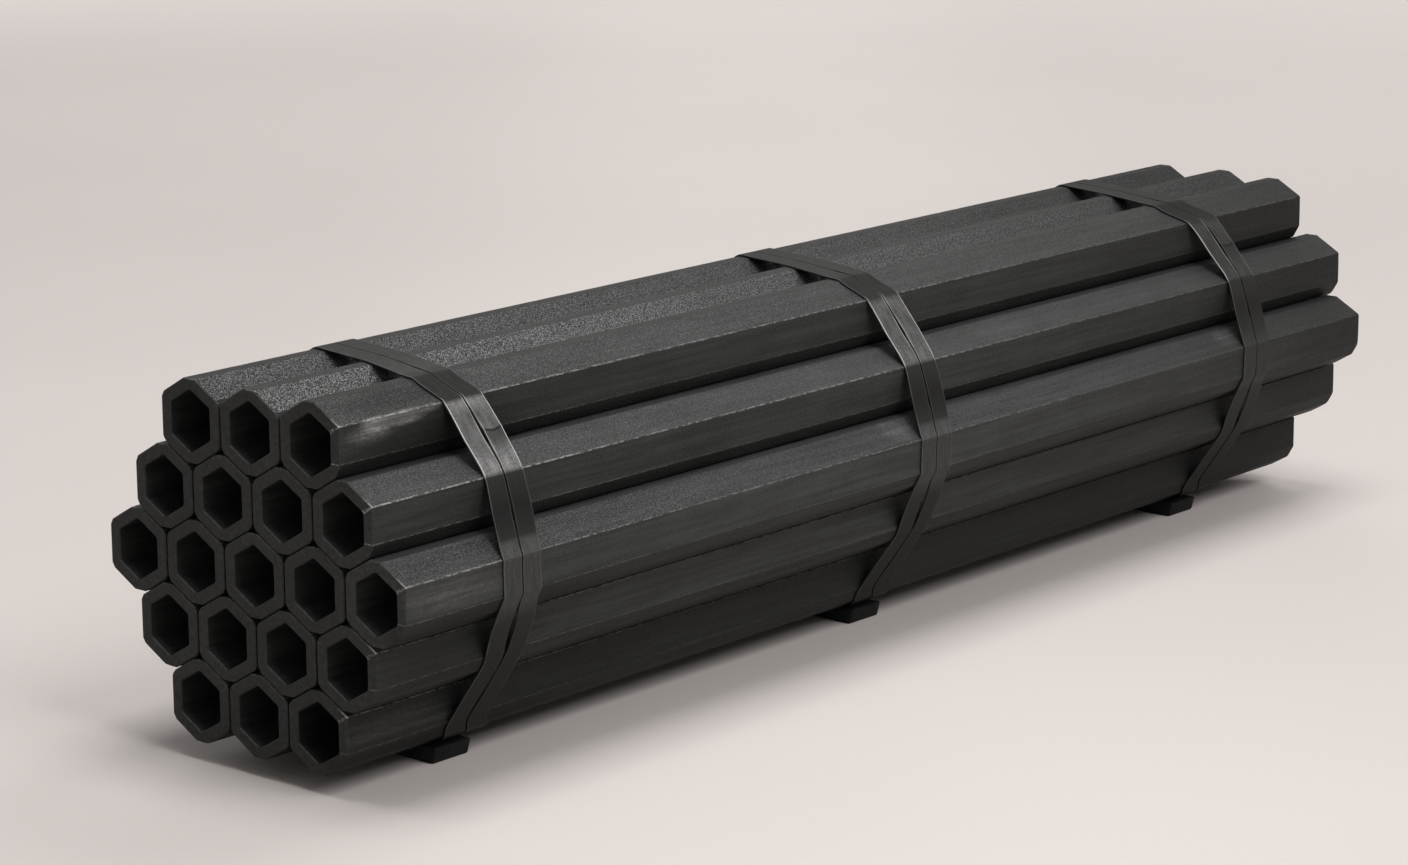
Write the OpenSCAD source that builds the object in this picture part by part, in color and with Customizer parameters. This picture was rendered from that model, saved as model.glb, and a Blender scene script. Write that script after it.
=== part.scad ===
// Bundle of hexagonal ceramic tubes: a honeycomb stack bound by pairs of flat
// plastic bands, lying on low bearers. Millimetres, +Z up, tubes along Y, origin
// on the floor under the middle of the bundle.

/* [Tubes] */
// Width of a tube across its outer faces
tube_af = 38.5; // [32:0.5:60]
// Width of the bore across its faces
bore_af = 26; // [12:0.5:34]
// Nominal length of a tube
tube_length = 800; // [400:1:1200]
// Width of the flat along a tube's top and bottom corners
crown_flat = 7.5; // [2:0.5:12]
// Width of the narrow flat along its four side corners
corner_flat = 3; // [1.5:0.5:8]
// Width of the flat along the lower outer corner of the tubes on the right
low_flat = 8; // [1.5:0.5:10]
// Width of the flat along the upper outer corner of those tubes
crisp_flat = 1.1; // [1.1:0.1:6]
// Radius that softens both edges of each flat
edge_radius = 1.2; // [0.4:0.1:2]
// Corner radius of the bore
bore_radius = 2; // [0.5:0.1:4]
// Bevel around both ends, outside and in the bore
end_bevel = 0.7; // [0.2:0.1:1.5]

/* [Stack] */
// Gap between neighbours in a row
column_gap = 1; // [0.2:0.1:2]
// Gap between a tube and the slanted faces that it nests on
nest_gap = 0.5; // [0.2:0.05:0.9]

/* [Bands] */
// Width of a band
band_width = 12; // [8:0.5:16]
// Thickness of a band
band_thickness = 0.8; // [0.5:0.1:1.5]
// Gap between the two bands of a pair
pair_gap = 1; // [0.4:0.1:6]
// Gap between a band and the tubes that it holds
band_gap = 0.3; // [0.2:0.05:1]
// Inner radius of a band where it bends over a tube
bend_radius = 2.5; // [1:0.5:6]
// Length of the welded overlap that closes a band
weld_length = 15; // [8:1:30]
// From the bend over the top corner tube to the overlap
weld_start = 2; // [1:0.5:15]
// How far the bands lie out of square to the tubes, in degrees
band_skew = 6; // [0:0.5:10]
// From the near ends of the tubes to the middle of the front pair
front_at = 86; // [50:1:150]
// From the nominal far ends of the tubes to the middle of the rear pair
rear_in = 101; // [50:1:150]
// From halfway between those two to the middle of the middle pair
middle_shift = 7; // [-40:0.5:40]

/* [Bearers] */
// How far the top of a bearer reaches past the axes of the outer bottom tubes
bearer_overhang = 10.5; // [2:0.5:60]
// Width of a bearer along the bundle
bearer_width = 24; // [12:1:60]
// Height of a bearer
bearer_height = 8; // [4:0.5:40]
// How far each end of a bearer leans in at the floor
bearer_lean = 2.2; // [0:0.2:5]
// How far the middle of a bearer lies in front of the middle of its pair
bearer_back = 9; // [0:0.5:12]
// Gap between a bearer and the bands on it
bearer_gap = 0.2; // [0.1:0.05:0.9]

/* [Hidden] */
// Tubes in each row, from the top
ROWS = [3, 4, 5, 4, 3];
// How far each far end stands past the nominal length, by row and column
END_STAGGER = [
    [-2, 3, -5],
    [1, -4, 2, 8],
    [-3, 4, 0, -2, 0],
    [2, -1, 3, 6],
    [-4, 1, -5]
];
STATIONS = ["front", "middle", "rear"];
SIDES = ["a", "b"];
// Facets in each rounded corner
OUTER_STEPS = 3;
BORE_STEPS = 4;
BEND_STEPS = 5;
// How far cutting shapes reach past what they cut
PAST = 2;

function tube_name(row, column) = str("tube_", row, "_", column);
function band_name(station, side) = str("strap_", station, "_", side);
function bearer_name(station) = str("bearer_", station);

column_pitch = tube_af + column_gap;
row_pitch = (tube_af + nest_gap - column_pitch * cos(60) / 2) / sin(60);
middle_row = (len(ROWS) + 1) / 2;
last_row = len(ROWS);
// From the middle tube's axis to the top and bottom of the stack
stack_reach = (middle_row - 1) * row_pitch + flat_reach(90, false);
// Height of the middle tube's axis over the floor
axis_z = bearer_height + bearer_gap + band_thickness + band_gap + stack_reach;
near_y = -(tube_length + max([for (row = END_STAGGER) each row])) / 2;

rear_at = tube_length - rear_in;
middle_at = (front_at + rear_at) / 2 + middle_shift;

function station_y(station) =
    near_y + (station == "front" ? front_at : station == "middle" ? middle_at : rear_at);

// Centre of a tube across the bundle, from the middle tube's axis
function tube_centre(row, column) = [
    (column - (ROWS[row - 1] + 1) / 2) * column_pitch,
    (middle_row - row) * row_pitch
];

// Whether a tube is the last of its row, on the right side of the stack
function on_right(row, column) = column == ROWS[row - 1];

// The six tubes at the corners of the stack, from the right, anticlockwise
CORNER_TUBES = [
    tube_centre(middle_row, ROWS[middle_row - 1]),
    tube_centre(1, ROWS[0]),
    tube_centre(1, 1),
    tube_centre(middle_row, 1),
    tube_centre(last_row, 1),
    tube_centre(last_row, ROWS[last_row - 1])
];
CORNER_ON_RIGHT = [true, true, false, false, false, true];

function unit(v) = v / norm(v);
function turned(v, angle) = [
    v.x * cos(angle) - v.y * sin(angle),
    v.x * sin(angle) + v.y * cos(angle)
];

// Width of the flat along the corner that looks along an angle
function flat_width(angle, right) =
    abs(sin(angle)) > 0.9 ? crown_flat
    : !right || cos(angle) < 0 ? corner_flat
    : sin(angle) > 0 ? crisp_flat : low_flat;

// From a tube's axis to that flat
function flat_reach(angle, right) =
    tube_af / 2 / cos(30) - flat_width(angle, right) / 2 * tan(30);

// The two ends of a tube's outer face that looks along an angle
function face_ends(angle, right) = [
    for (side = [-1, 1])
        let (half = tube_af / 2 * tan(30) - flat_width(angle + 30 * side, right) / 2 / sin(60))
        turned([tube_af / 2, side * half], angle)
];

function tube_outline(right) = [for (i = [0 : 5]) each face_ends(60 * i, right)];
function bore_outline() = [for (i = [0 : 5]) turned([bore_af / 2 / cos(30), 0], 60 * i + 30)];

// Tight line around the stack: one outer face of each corner tube, straight between
STACK_OUTLINE =
    [for (i = [0 : 5]) for (end = face_ends(60 * i, CORNER_ON_RIGHT[i])) CORNER_TUBES[i] + end];

// That line, or its mirror image from the right, anticlockwise too
function stack_outline(flipped) =
    !flipped ? STACK_OUTLINE
    : [for (i = [0 : 11]) let (point = STACK_OUTLINE[(19 - i) % 12]) [-point.x, point.y]];

// Anticlockwise convex outline with every side moved out
function grown(points, distance) =
    let (count = len(points))
    [for (i = [0 : count - 1])
        let (
            before = turned(unit(points[i] - points[(i + count - 1) % count]), -90),
            after = turned(unit(points[(i + 1) % count] - points[i]), -90)
        )
        points[i] + (before + after) * distance / (1 + before * after)];

// Anticlockwise convex outline with every corner rounded to a radius
function rounded(points, radius, steps) =
    let (count = len(points))
    [for (i = [0 : count - 1])
        let (
            before = turned(unit(points[i] - points[(i + count - 1) % count]), -90),
            after = turned(unit(points[(i + 1) % count] - points[i]), -90),
            centre = points[i] - (before + after) * radius / (1 + before * after),
            sweep = acos(before * after)
        )
        for (k = [0 : steps]) centre + turned(before * radius, sweep * k / steps)];

// Rounded outline of a band with the step of its weld after one of the bends
function welded(points, bend) =
    let (
        last = (bend + 1) * (BEND_STEPS + 1) - 1,
        run = unit(points[last + 1] - points[last]),
        out = turned(run, -90) * band_thickness,
        from = points[last] + run * weld_start,
        to = from + run * weld_length
    )
    concat(
        [for (i = [0 : last]) points[i]],
        [from, from + out, to + out, to],
        [for (i = [last + 1 : len(points) - 1]) points[i]]
    );

// Stretch of a section across the bundle, as drawn from the middle tube's axis
module along(start, length)
    translate([0, start + length, 0]) rotate([90, 0, 0]) linear_extrude(length) children();

// Slab whose two long faces run out in bevels at both ends of a tube
module bevelled_slab(ahead, behind, length, angle) {
    rise = end_bevel + PAST;
    rotate([0, -angle, 0]) translate([0, 0, -tube_af]) linear_extrude(2 * tube_af)
        polygon([
            [ahead - end_bevel, 0], [ahead + PAST, rise],
            [ahead + PAST, length - rise], [ahead - end_bevel, length],
            [end_bevel - behind, length], [-behind - PAST, length - rise],
            [-behind - PAST, rise], [end_bevel - behind, 0]
        ]);
}

// Mouth of a bore: a hexagonal funnel at the near end that narrows inwards
module bore_mouth()
    intersection_for (i = [0 : 2])
        rotate([0, -60 * i, 0]) translate([0, 0, -tube_af]) linear_extrude(2 * tube_af)
            polygon([
                [bore_af / 2 + end_bevel + PAST, -PAST], [bore_af / 2 - PAST, end_bevel + PAST],
                [PAST - bore_af / 2, end_bevel + PAST], [-bore_af / 2 - end_bevel - PAST, -PAST]
            ]);

// Envelope that gives a tube's six faces and six flats their end bevels
module bevelled_slabs(length, right)
    intersection_for (i = [0 : 2]) intersection() {
        bevelled_slab(tube_af / 2, tube_af / 2, length, 60 * i);
        bevelled_slab(
            flat_reach(60 * i + 30, right), flat_reach(60 * i + 210, right), length, 60 * i + 30
        );
    }

module tube(row, column) {
    centre = tube_centre(row, column);
    length = tube_length + END_STAGGER[row - 1][column - 1];
    right = on_right(row, column);
    color("#2d2d2f") translate([centre.x, near_y, axis_z + centre.y])
        difference() {
            intersection() {
                along(-PAST, length + 2 * PAST)
                    polygon(rounded(tube_outline(right), edge_radius, OUTER_STEPS));
                bevelled_slabs(length, right);
            }
            along(-PAST, length + 2 * PAST)
                polygon(rounded(bore_outline(), bore_radius, BORE_STEPS));
            bore_mouth();
            translate([0, length, 0]) mirror([0, 1, 0]) bore_mouth();
        }
}

// Section of a band: a ring around the stack with its weld on the upper left
module band_section(flipped) {
    inner = grown(stack_outline(flipped), band_gap);
    outer = grown(inner, band_thickness);
    difference() {
        polygon(welded(rounded(outer, bend_radius + band_thickness, BEND_STEPS), 5));
        polygon(rounded(inner, bend_radius, BEND_STEPS));
    }
}

// A band: the part of a long sleeve between two planes, turned by the skew
module band(station, side) {
    start = side == "a" ? -band_width - pair_gap / 2 : pair_gap / 2;
    past = CORNER_TUBES[0].x + tube_af;
    color("#1b1b1c") translate([0, station_y(station), axis_z])
        intersection() {
            along(-past, 2 * past) mirror([side == "b" ? 1 : 0, 0]) band_section(side == "b");
            rotate([0, 0, -band_skew]) translate([-2 * past, start, -past])
                cube([4 * past, band_width, 2 * past]);
        }
}

module bearer(station) {
    top = tube_centre(last_row, ROWS[last_row - 1]).x + bearer_overhang;
    foot = top - bearer_lean;
    color("#1e1e1e") translate([0, station_y(station) - bearer_back, 0])
        along(-bearer_width / 2, bearer_width)
            polygon([[-foot, 0], [foot, 0], [top, bearer_height], [-top, bearer_height]]);
}

for (row = [1 : len(ROWS)], column = [1 : ROWS[row - 1]])
    tube(row, column);
for (station = STATIONS, side = SIDES)
    band(station, side);
for (station = STATIONS)
    bearer(station);
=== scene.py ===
"""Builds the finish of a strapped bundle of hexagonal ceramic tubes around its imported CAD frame."""

import math

import bmesh
import bpy
from bpy.props import FloatProperty, FloatVectorProperty, PointerProperty
from mathutils import Matrix, Vector


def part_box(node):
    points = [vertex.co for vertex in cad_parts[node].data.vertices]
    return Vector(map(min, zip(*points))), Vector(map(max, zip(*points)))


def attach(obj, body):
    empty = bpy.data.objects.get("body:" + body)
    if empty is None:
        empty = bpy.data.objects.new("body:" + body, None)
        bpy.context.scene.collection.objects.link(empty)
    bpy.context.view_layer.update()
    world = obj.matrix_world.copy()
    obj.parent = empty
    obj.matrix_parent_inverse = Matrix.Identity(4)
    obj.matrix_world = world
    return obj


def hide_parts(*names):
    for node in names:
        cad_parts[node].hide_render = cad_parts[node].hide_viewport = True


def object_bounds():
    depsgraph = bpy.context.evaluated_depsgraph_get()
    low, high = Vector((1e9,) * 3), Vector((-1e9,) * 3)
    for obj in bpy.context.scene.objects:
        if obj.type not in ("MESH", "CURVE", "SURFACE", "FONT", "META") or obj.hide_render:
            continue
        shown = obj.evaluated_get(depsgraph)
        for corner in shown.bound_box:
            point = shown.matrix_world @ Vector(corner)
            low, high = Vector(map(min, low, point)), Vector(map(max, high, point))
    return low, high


bl_info = {
    "name": "Hexagonal Tube Bundle",
    "version": (1, 0, 0),
    "blender": (4, 5, 0),
    "location": "View3D > Sidebar > Tube Bundle",
    "description": "Ceramic tubes, plastic bands, bearers and a studio for them",
    "category": "Object",
}

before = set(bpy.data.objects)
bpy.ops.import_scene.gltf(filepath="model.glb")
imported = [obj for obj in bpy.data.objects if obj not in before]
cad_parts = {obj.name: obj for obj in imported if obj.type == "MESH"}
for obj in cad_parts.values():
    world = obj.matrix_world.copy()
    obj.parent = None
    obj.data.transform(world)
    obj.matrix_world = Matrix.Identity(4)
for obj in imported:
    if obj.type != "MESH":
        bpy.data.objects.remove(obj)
CAD_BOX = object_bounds()

MM = 0.001
# Degrees from one face of a hexagon to the next, and to the flat along the corner between them
FACE_TURN = 60
EDGE_TURN = 30
# Row and column of each tube, counted from the top and from the left
TUBES = sorted(tuple(map(int, name.split("_")[1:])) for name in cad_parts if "tube" in name)
# Tubes of the right side: crisp along the upper outer corner, with a wide flat along the lower one
CRISP = {(1, 3), (2, 4), (3, 5), (4, 4), (5, 3)}
# Tubes with no face on the outside of the stack
BURIED = {(2, 2), (2, 3), (3, 2), (3, 3), (3, 4), (4, 2), (4, 3)}
# Spans between the stops along a tube's skin
SPANS = {"buried": 20, "shown": 150}
STATIONS = ("front", "middle", "rear")

# A tube's firing and the light painted on it: tone of the body, partly its own and partly painted shade
# and sheen; dust on the faces that look up and grains on them, partly painted sheen; rubbing of its edges,
# partly painted highlight
FIRINGS_AND_PAINTED_LIGHT = {
    (1, 1): (0.86, 0.0, 0.46, 1.0),
    (1, 2): (0.95, 0.015, 0.66, 1.0),
    (1, 3): (1.0, 0.03, 0.2, 1.0),
    (2, 4): (1.1, 0.055, 0.17, 1.0),
    (3, 5): (1.32, 0.0, 0.16, 0.6),
    (4, 4): (1.1, 0.02, 0.2, 0.5),
    (5, 3): (0.42, 0.0, 0.1, 0.4),
}
PLAIN_FIRING_AND_LIGHT = (1.0, 0.02, 0.35, 1.0)
FIRING_PARTS = ("Tone", "Dust", "Grains", "Rub")
# Patches on the skin: (middle, half sizes, strength), pale above 0 and dark below; the dark ones are
# painted shade and painted shadow
PATCHES = [
    # Scuffs under the upper edge of a side face near the near end
    ((0.0588, -0.38, 0.1723), (0.0025, 0.014, 0.005), 1.0),
    ((0.0588, -0.362, 0.1729), (0.0025, 0.017, 0.005), 0.95),
    ((0.0588, -0.346, 0.174), (0.0025, 0.009, 0.003), 0.4),
    ((0.0588, -0.384, 0.169), (0.0025, 0.02, 0.0065), 0.2),
    # Painted shadow and painted shade: beside the front bands on the top right tube, under the overhang of
    # the right side, on a face that looks down, and down by the floor
    ((0.059, -0.34, 0.16), (0.006, 0.075, 0.02), -0.6),
    ((0.059, -0.338, 0.157), (0.006, 0.022, 0.018), -0.5),
    ((0.05, -0.36, 0.18), (0.014, 0.06, 0.012), -0.45),
    ((0.0785, -0.35, 0.065), (0.006, 0.09, 0.022), -0.45),
    ((0.0925, -0.35, 0.0835), (0.014, 0.12, 0.012), -0.6),
    ((0.053, -0.35, 0.016), (0.02, 0.12, 0.012), -0.6),
    # Painted sheen on two side faces near the near end
    ((0.0985, -0.375, 0.1), (0.006, 0.05, 0.013), 0.07),
    ((0.0588, -0.375, 0.029), (0.004, 0.07, 0.011), 0.03),
    ((0.0886, -0.04, 0.1133), (0.012, 0.014, 0.01), 0.1),
    ((0.0886, 0.266, 0.1133), (0.012, 0.014, 0.01), 0.08),
]

# Steps in each rounded corner of a tube's outline
ARC_STEPS = 3
# From an arc to the point that keeps its shading off the flat face
SHOULDER = 0.6 * MM
# A flat narrower than this has one point between its arcs
NARROW = 4 * MM
# How much of a ridge each stop past the crisp corner is
RIDGE_FADE = [0.5, 0.1, 0.0]
# Millimetres past the bevel of the first stops along a tube's skin, where the chips are
END_STOPS = [0, 0.5, 1.3, 2.5, 4, 6.5, 10]
# Stops along its bore: millimetres in from each end, and shares of the length
MOUTH_STOPS = [6, 20]
BORE_SHARES = [0.9, 0.7, 0.5, 0.3, 0.1]
# Degrees past which an edge stays sharp in the shading
TUBE_CREASE = 26
BAND_CREASE = 40
# Scale of the chips, and how far they reach in from an edge and from an end
CHIP_SCALE = 260.0
CHIP_REACH = 1.2 * MM
CHIP_DEPTH = 4 * MM
# Points this close are one point
WELDED = 1e-6
# Keeps the whole part of a quotient from falling one short
ROUNDING = 0.0001
# Steps in each rounded edge of a bearer
ROUND_STEPS = 3

# Steps in each bend of a band, and the longest step between two bends
BEND_STEPS = 6
PATH_STEP = 2 * MM
# Half the stretch over which a band's turn at a key is smoothed, and the step for its slant
SMOOTHED = 5 * MM
SLANT_STEP = 4 * MM
# How much the long edges of a band are cut back
SOFT_EDGE = 0.2 * MM
# From the shoulder back to a weld in sight, and from the left brow on to a hidden one
WELD_END = 18.5 * MM
HIDDEN_WELD = 16 * MM
WELDED_IN_SIGHT = ("front_b", "rear_b")

# Tubes on the corners of the stack, anticlockwise from the right
RING = [(3, 5), (1, 3), (1, 1), (3, 1), (5, 1), (5, 3)]
# Directions of the two bends over the ends of the top row
CROWN = (75, 105)
# Corners of the stack that a band passes, anticlockwise: row, column and direction of the corner
KEYS = {
    "knee": (3, 5, -30),
    "waist": (3, 5, 30),
    "elbow": (2, 4, 30),
    "shoulder": (1, 3, 30),
    "brow": (1, 3, 75),
    "crown": (1, 2, 90),
    "left_brow": (1, 1, 105),
    "left_waist": (3, 1, 150),
    "left_knee": (3, 1, 210),
    "left_foot": (5, 1, 255),
    "foot": (5, 3, 285),
    "ankle": (5, 3, -30),
    "shin": (4, 4, -30),
}
# Millimetres behind the near ends at which the middle of each pair passes them
PASSES = {
    "front": [74.5, 74, 84.5, 78.5, 74, 88.5, 97, 97, 97, 95, 90.5, 76.5, 83],
    "middle": [385, 386, 398, 391, 386, 401, 411, 409, 409, 407, 399, 384, 393.5],
    "rear": [686.5, 687.5, 700.5, 689, 676, 693, 706, 708, 708, 716, 711, 691, 699],
}
# The tables below give (millimetres past a key, value) at stops along the run.
# How pale the plastic is where it is stretched, which is partly painted sheen; below 0 it is painted
# shade, duller than elsewhere
TONES = {
    "front": {
        "knee": [(0, 0.1)],
        "waist": [(-1, 0.12), (0, 0.2), (7, 0.16), (13, -0.4)],
        "elbow": [(-17, -0.8), (-2, 0.0), (0, 0.82), (7, 0.64), (16, 0.4)],
        "shoulder": [(-9, 0.36), (-2, 0.7), (0, 0.04)],
        "brow": [(0, 0.03), (14, 0.1)],
        "crown": [(0, 0.05)],
        "ankle": [(0, 0.0)],
        "shin": [(0, -0.2)],
    },
    "middle": {
        "knee": [(0, 0.1)],
        "waist": [(-1, 0.1), (0, 0.2), (7, 0.14), (13, -0.4)],
        "elbow": [(-17, -0.8), (-2, 0.0), (0, 0.42), (22, 0.25)],
        "shoulder": [(-3, 0.35), (0, 0.04)],
        "brow": [(0, 0.03)],
        "ankle": [(0, 0.0)],
        "shin": [(0, -0.2)],
    },
    "rear": {
        "knee": [(0, 0.05)],
        "waist": [(-1, 0.05), (0, 0.06), (9, 0.0), (14, -0.4)],
        "elbow": [(-17, -0.8), (-2, -0.1), (0, 0.1), (22, 0.06)],
        "shoulder": [(-3, 0.1), (0, 0.02)],
        "brow": [(0, 0.0)],
        "ankle": [(0, -0.2)],
        "shin": [(0, -0.3)],
    },
}
# Painted highlight along the cut edges, with some whitening: how pale they are, and the share of that on
# each of a pair
CUT_HIGHLIGHTS = {
    "knee": [(0, 0.05)],
    "waist": [(0, 0.12), (14, 0.08)],
    "elbow": [(-12, 0.1), (-2, 0.15), (1, 0.9)],
    "shoulder": [(-1, 1.0), (2, 0.12)],
    "left_brow": [(0, 0.1)],
    "left_waist": [(0, 0.1)],
    "ankle": [(0, 0.05)],
    "shin": [(0, 0.08)],
}
CUT_HIGHLIGHT_SHARES = {"front": (1.0, 0.9), "middle": (0.9, 0.8), "rear": (0.8, 0.15)}
# How far each band of a pair stands aside from its place, in millimetres
SPREADS = {
    "knee": [(-4, 0.3), (0, 0.0)],
    "waist": [(0, 0.0), (20, 0.35)],
    "elbow": [(-2, 0.05), (0, 0.05), (18, 0.65)],
    "shoulder": [(-8, 0.15), (0, 0.0)],
    "brow": [(0, 0.0), (12, 0.5), (24, 0.05)],
    "left_brow": [(0, 0.0)],
    "left_waist": [(0, 0.0)],
    "ankle": [(0, 0.1), (16, 0.8)],
    "shin": [(-2, 0.3), (0, 0.3), (5, 1.0), (20, 1.5)],
}

# Direction across the floor to the camera
TO_CAMERA = Vector((0.65, -0.76))
# Half the side of the floor, and where its paper turns into the backdrop
FLOOR_REACH = 30
BACKDROP_FROM, BACKDROP_TO = 2.2, 3.5
# Side of a lamp, where each stands, and the spot that they all look at
LAMP_SIZE = 3.2
LAMPS = {
    "right": (4.24, 0, 4.34),
    "back": (0, 4.24, 4.34),
    "over": (0, 0, 6.1),
    "side": (-3.99, 3.99, 2.15),
}
LIT_SPOT = (0, 0, 0.1)


# Sizes and colours


def length(name, description, millimetres):
    """A size in metres, written in millimetres."""
    return FloatProperty(
        name=name, description=description, default=millimetres * MM, min=0, precision=5,
        unit="LENGTH", subtype="DISTANCE",
    )


def colour(name, description, parts):
    """A plain colour."""
    return FloatVectorProperty(
        name=name, description=description, default=parts, size=3, min=0, max=1, subtype="COLOR"
    )


def angle(name, description, degrees):
    """An angle in radians, written in degrees."""
    return FloatProperty(
        name=name, description=description, default=math.radians(degrees), subtype="ANGLE"
    )


def power(name, description, watts):
    """A lamp's power."""
    return FloatProperty(name=name, description=description, default=watts, unit="POWER")


class TubeSettings(bpy.types.PropertyGroup):
    """Sizes and colours of the ceramic tubes."""

    bore: length("Bore", "Width of the bore across its faces", 26)
    bore_radius: length("Bore radius", "Corner radius of the bore", 2)
    corner_flat: length("Side flat", "Width of the flat along the side corners", 3)
    edge_radius: length("Edge radius", "Radius along both edges of a flat", 1.2)
    crisp_flat: length("Crisp flat", "Width of the flat along a crisp corner", 0.5)
    crisp_radius: length("Crisp radius", "Edge radius of a crisp corner", 0.4)
    low_flat: length("Low flat", "Width of the flat below on the right side's tubes", 8)
    bevel: length("End bevel", "Bevel around both ends", 0.55)
    chip: length("Chip depth", "Deepest chip out of the edges", 0.3)
    body: colour("Body", "Colour of the fired ceramic", (0.0268, 0.0285, 0.0277))
    # Grains and dust share this colour with a painted sheen on the sloping faces
    grit_and_sheen: colour("Grit", "Colour of the grains in the skin", (0.42, 0.42, 0.418))
    # Rubbed edges and scuffs share this colour with painted highlights and sheen
    wear_and_highlight: colour("Worn edge", "Colour where edges are rubbed", (0.5, 0.5, 0.49))


class BandSettings(bpy.types.PropertyGroup):
    """Sizes and colours of the plastic bands."""

    width: length("Width", "Width of a band", 12)
    thickness: length("Thickness", "Thickness of a band", 0.8)
    pair_gap: length("Pair gap", "Gap between the two bands of a pair", 0.8)
    lift: length("Lift", "From the tubes to the inner face of a band", 0.3)
    bend: length("Bend radius", "Inner radius where a band bends over a tube", 1.6)
    crown_bend: length("Crown bend", "Radius where it bends over the top tubes", 8)
    weld: length("Weld length", "Length of the overlap that closes a band", 14)
    overlap: length("Weld rise", "How far the pressed overlap stands proud", 0.25)
    plastic: colour("Plastic", "Colour of the band", (0.0162, 0.0169, 0.0162))
    # Stretched plastic and painted sheen share this colour
    stretched: colour("Stretched", "Colour where it is drawn tight", (0.34, 0.34, 0.34))
    # Whitened cut edges and their painted highlight share this colour
    whitening_and_highlight: colour("Cut edge", "Colour of the stretched cut edges", (0.85, 0.85, 0.84))


class BearerSettings(bpy.types.PropertyGroup):
    """Sizes and colours of the bearers."""

    lean: length("Lean", "How far each end leans in at the floor", 2.2)
    round: length("Rounding", "Radius along the edges", 0.9)
    rubber: colour("Rubber", "Colour of the bearer", (0.0095, 0.0095, 0.0095))
    dust: colour("Dust", "Colour of the dust on it", (0.035, 0.034, 0.032))


class StageSettings(bpy.types.PropertyGroup):
    """The floor, the lamps and the camera."""

    floor: colour("Floor", "Colour of the floor", (0.765, 0.705, 0.675))
    sky: colour("Room light", "Colour of the light from all around", (1.0, 0.985, 0.965))
    sky_level: FloatProperty(name="Room level", description="Strength of that light", default=0.2)
    right: power("Right", "Power of the high lamp on the right", 138)
    back: power("Back", "Power of the high lamp behind", 78)
    over: power("Over", "Power of the lamp overhead", 142)
    side: power("Side", "Power of the low lamp at the far left", 60)
    camera_place: FloatVectorProperty(
        name="Camera", description="Where the camera stands", default=(1.2904, -1.5925, 0.5593),
        unit="LENGTH", subtype="XYZ",
    )
    azimuth: angle("Azimuth", "Camera's turn round the bundle", 40.588)
    elevation: angle("Elevation", "How far the camera looks down", 12.829)
    roll: angle("Roll", "Camera's roll", -0.419)
    lens: FloatProperty(name="Lens", description="Focal length", default=100.59, unit="CAMERA")


class BundleSettings(bpy.types.PropertyGroup):
    """Everything that a user would change."""

    tubes: PointerProperty(name="Tubes", description="The ceramic tubes", type=TubeSettings)
    bands: PointerProperty(name="Bands", description="The plastic bands", type=BandSettings)
    bearers: PointerProperty(name="Bearers", description="The bearers", type=BearerSettings)
    stage: PointerProperty(name="Stage", description="Floor, lamps, camera", type=StageSettings)


# Node wiring


def pick(sockets, key):
    """A socket by its place, its identifier or its name."""
    known = [socket for socket in sockets if socket.identifier == key]
    return known[0] if known else sockets[key]


class Net:
    """Adds nodes to a tree."""

    def __init__(self, tree):
        self.tree = tree

    def add(self, kind, sockets=None, settings=None, out=0):
        """A node of one kind, with its settings made before its sockets are filled."""
        node = self.tree.nodes.new(kind)
        for name, value in (settings or {}).items():
            setattr(node, name, value)
        for key, value in (sockets or {}).items():
            socket = pick(node.inputs, key)
            if isinstance(value, Wire):
                self.tree.links.new(value.socket, socket)
            else:
                socket.default_value = value
        return Wire(self, pick(node.outputs, out)) if node.outputs else None

    def vector(self, operation, *values, out=0):
        """A Vector Math node."""
        return self.add("ShaderNodeVectorMath", dict(enumerate(values)), {"operation": operation}, out)

    def scaled(self, vector, factor):
        """A vector or a colour times a number."""
        sockets = {"Vector": vector, "Scale": factor}
        return self.add("ShaderNodeVectorMath", sockets, {"operation": "SCALE"})

    def parts(self, vector):
        """The three parts of a vector."""
        first = self.add("ShaderNodeSeparateXYZ", {0: vector})
        return [Wire(self, socket) for socket in first.socket.node.outputs]

    def joined(self, x, y, z):
        """A vector from three numbers."""
        return self.add("ShaderNodeCombineXYZ", {0: x, 1: y, 2: z})

    def noise(self, place, scale=1.0, detail=2.0, roughness=0.5):
        """Noise at a place."""
        sockets = {"Vector": place, "Scale": scale, "Detail": detail, "Roughness": roughness}
        return self.add("ShaderNodeTexNoise", sockets)


class Wire:
    """A node's output that can be used in arithmetic."""

    def __init__(self, net, socket):
        self.net, self.socket = net, socket

    def math(self, operation, *others, clamp=False):
        """A Math node with this output first."""
        settings = {"operation": operation, "use_clamp": clamp}
        return self.net.add("ShaderNodeMath", dict(enumerate((self, *others))), settings)

    def after(self, operation, first):
        """A Math node with this output second."""
        return self.net.add("ShaderNodeMath", {0: first, 1: self}, {"operation": operation})

    def __add__(self, other):
        return self.math("ADD", other)

    def __sub__(self, other):
        return self.math("SUBTRACT", other)

    def __rsub__(self, other):
        return self.after("SUBTRACT", other)

    def __mul__(self, other):
        return self.math("MULTIPLY", other)

    def __truediv__(self, other):
        return self.math("DIVIDE", other)

    def __rtruediv__(self, other):
        return self.after("DIVIDE", other)

    __radd__ = __add__
    __rmul__ = __mul__

    def size(self):
        """How far it is from 0."""
        return self.math("ABSOLUTE")

    def clamped(self):
        """Kept from 0 to 1."""
        return self.math("MULTIPLY", 1.0, clamp=True)

    def ramp(self, start, stop):
        """0 below start, 1 past stop and smooth between them; falls when start is past stop."""
        sockets = {
            "Value": self, "From Min": min(start, stop), "From Max": max(start, stop),
            "To Min": float(start > stop), "To Max": float(start < stop),
        }
        return self.net.add("ShaderNodeMapRange", sockets, {"interpolation_type": "SMOOTHSTEP"})


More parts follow.
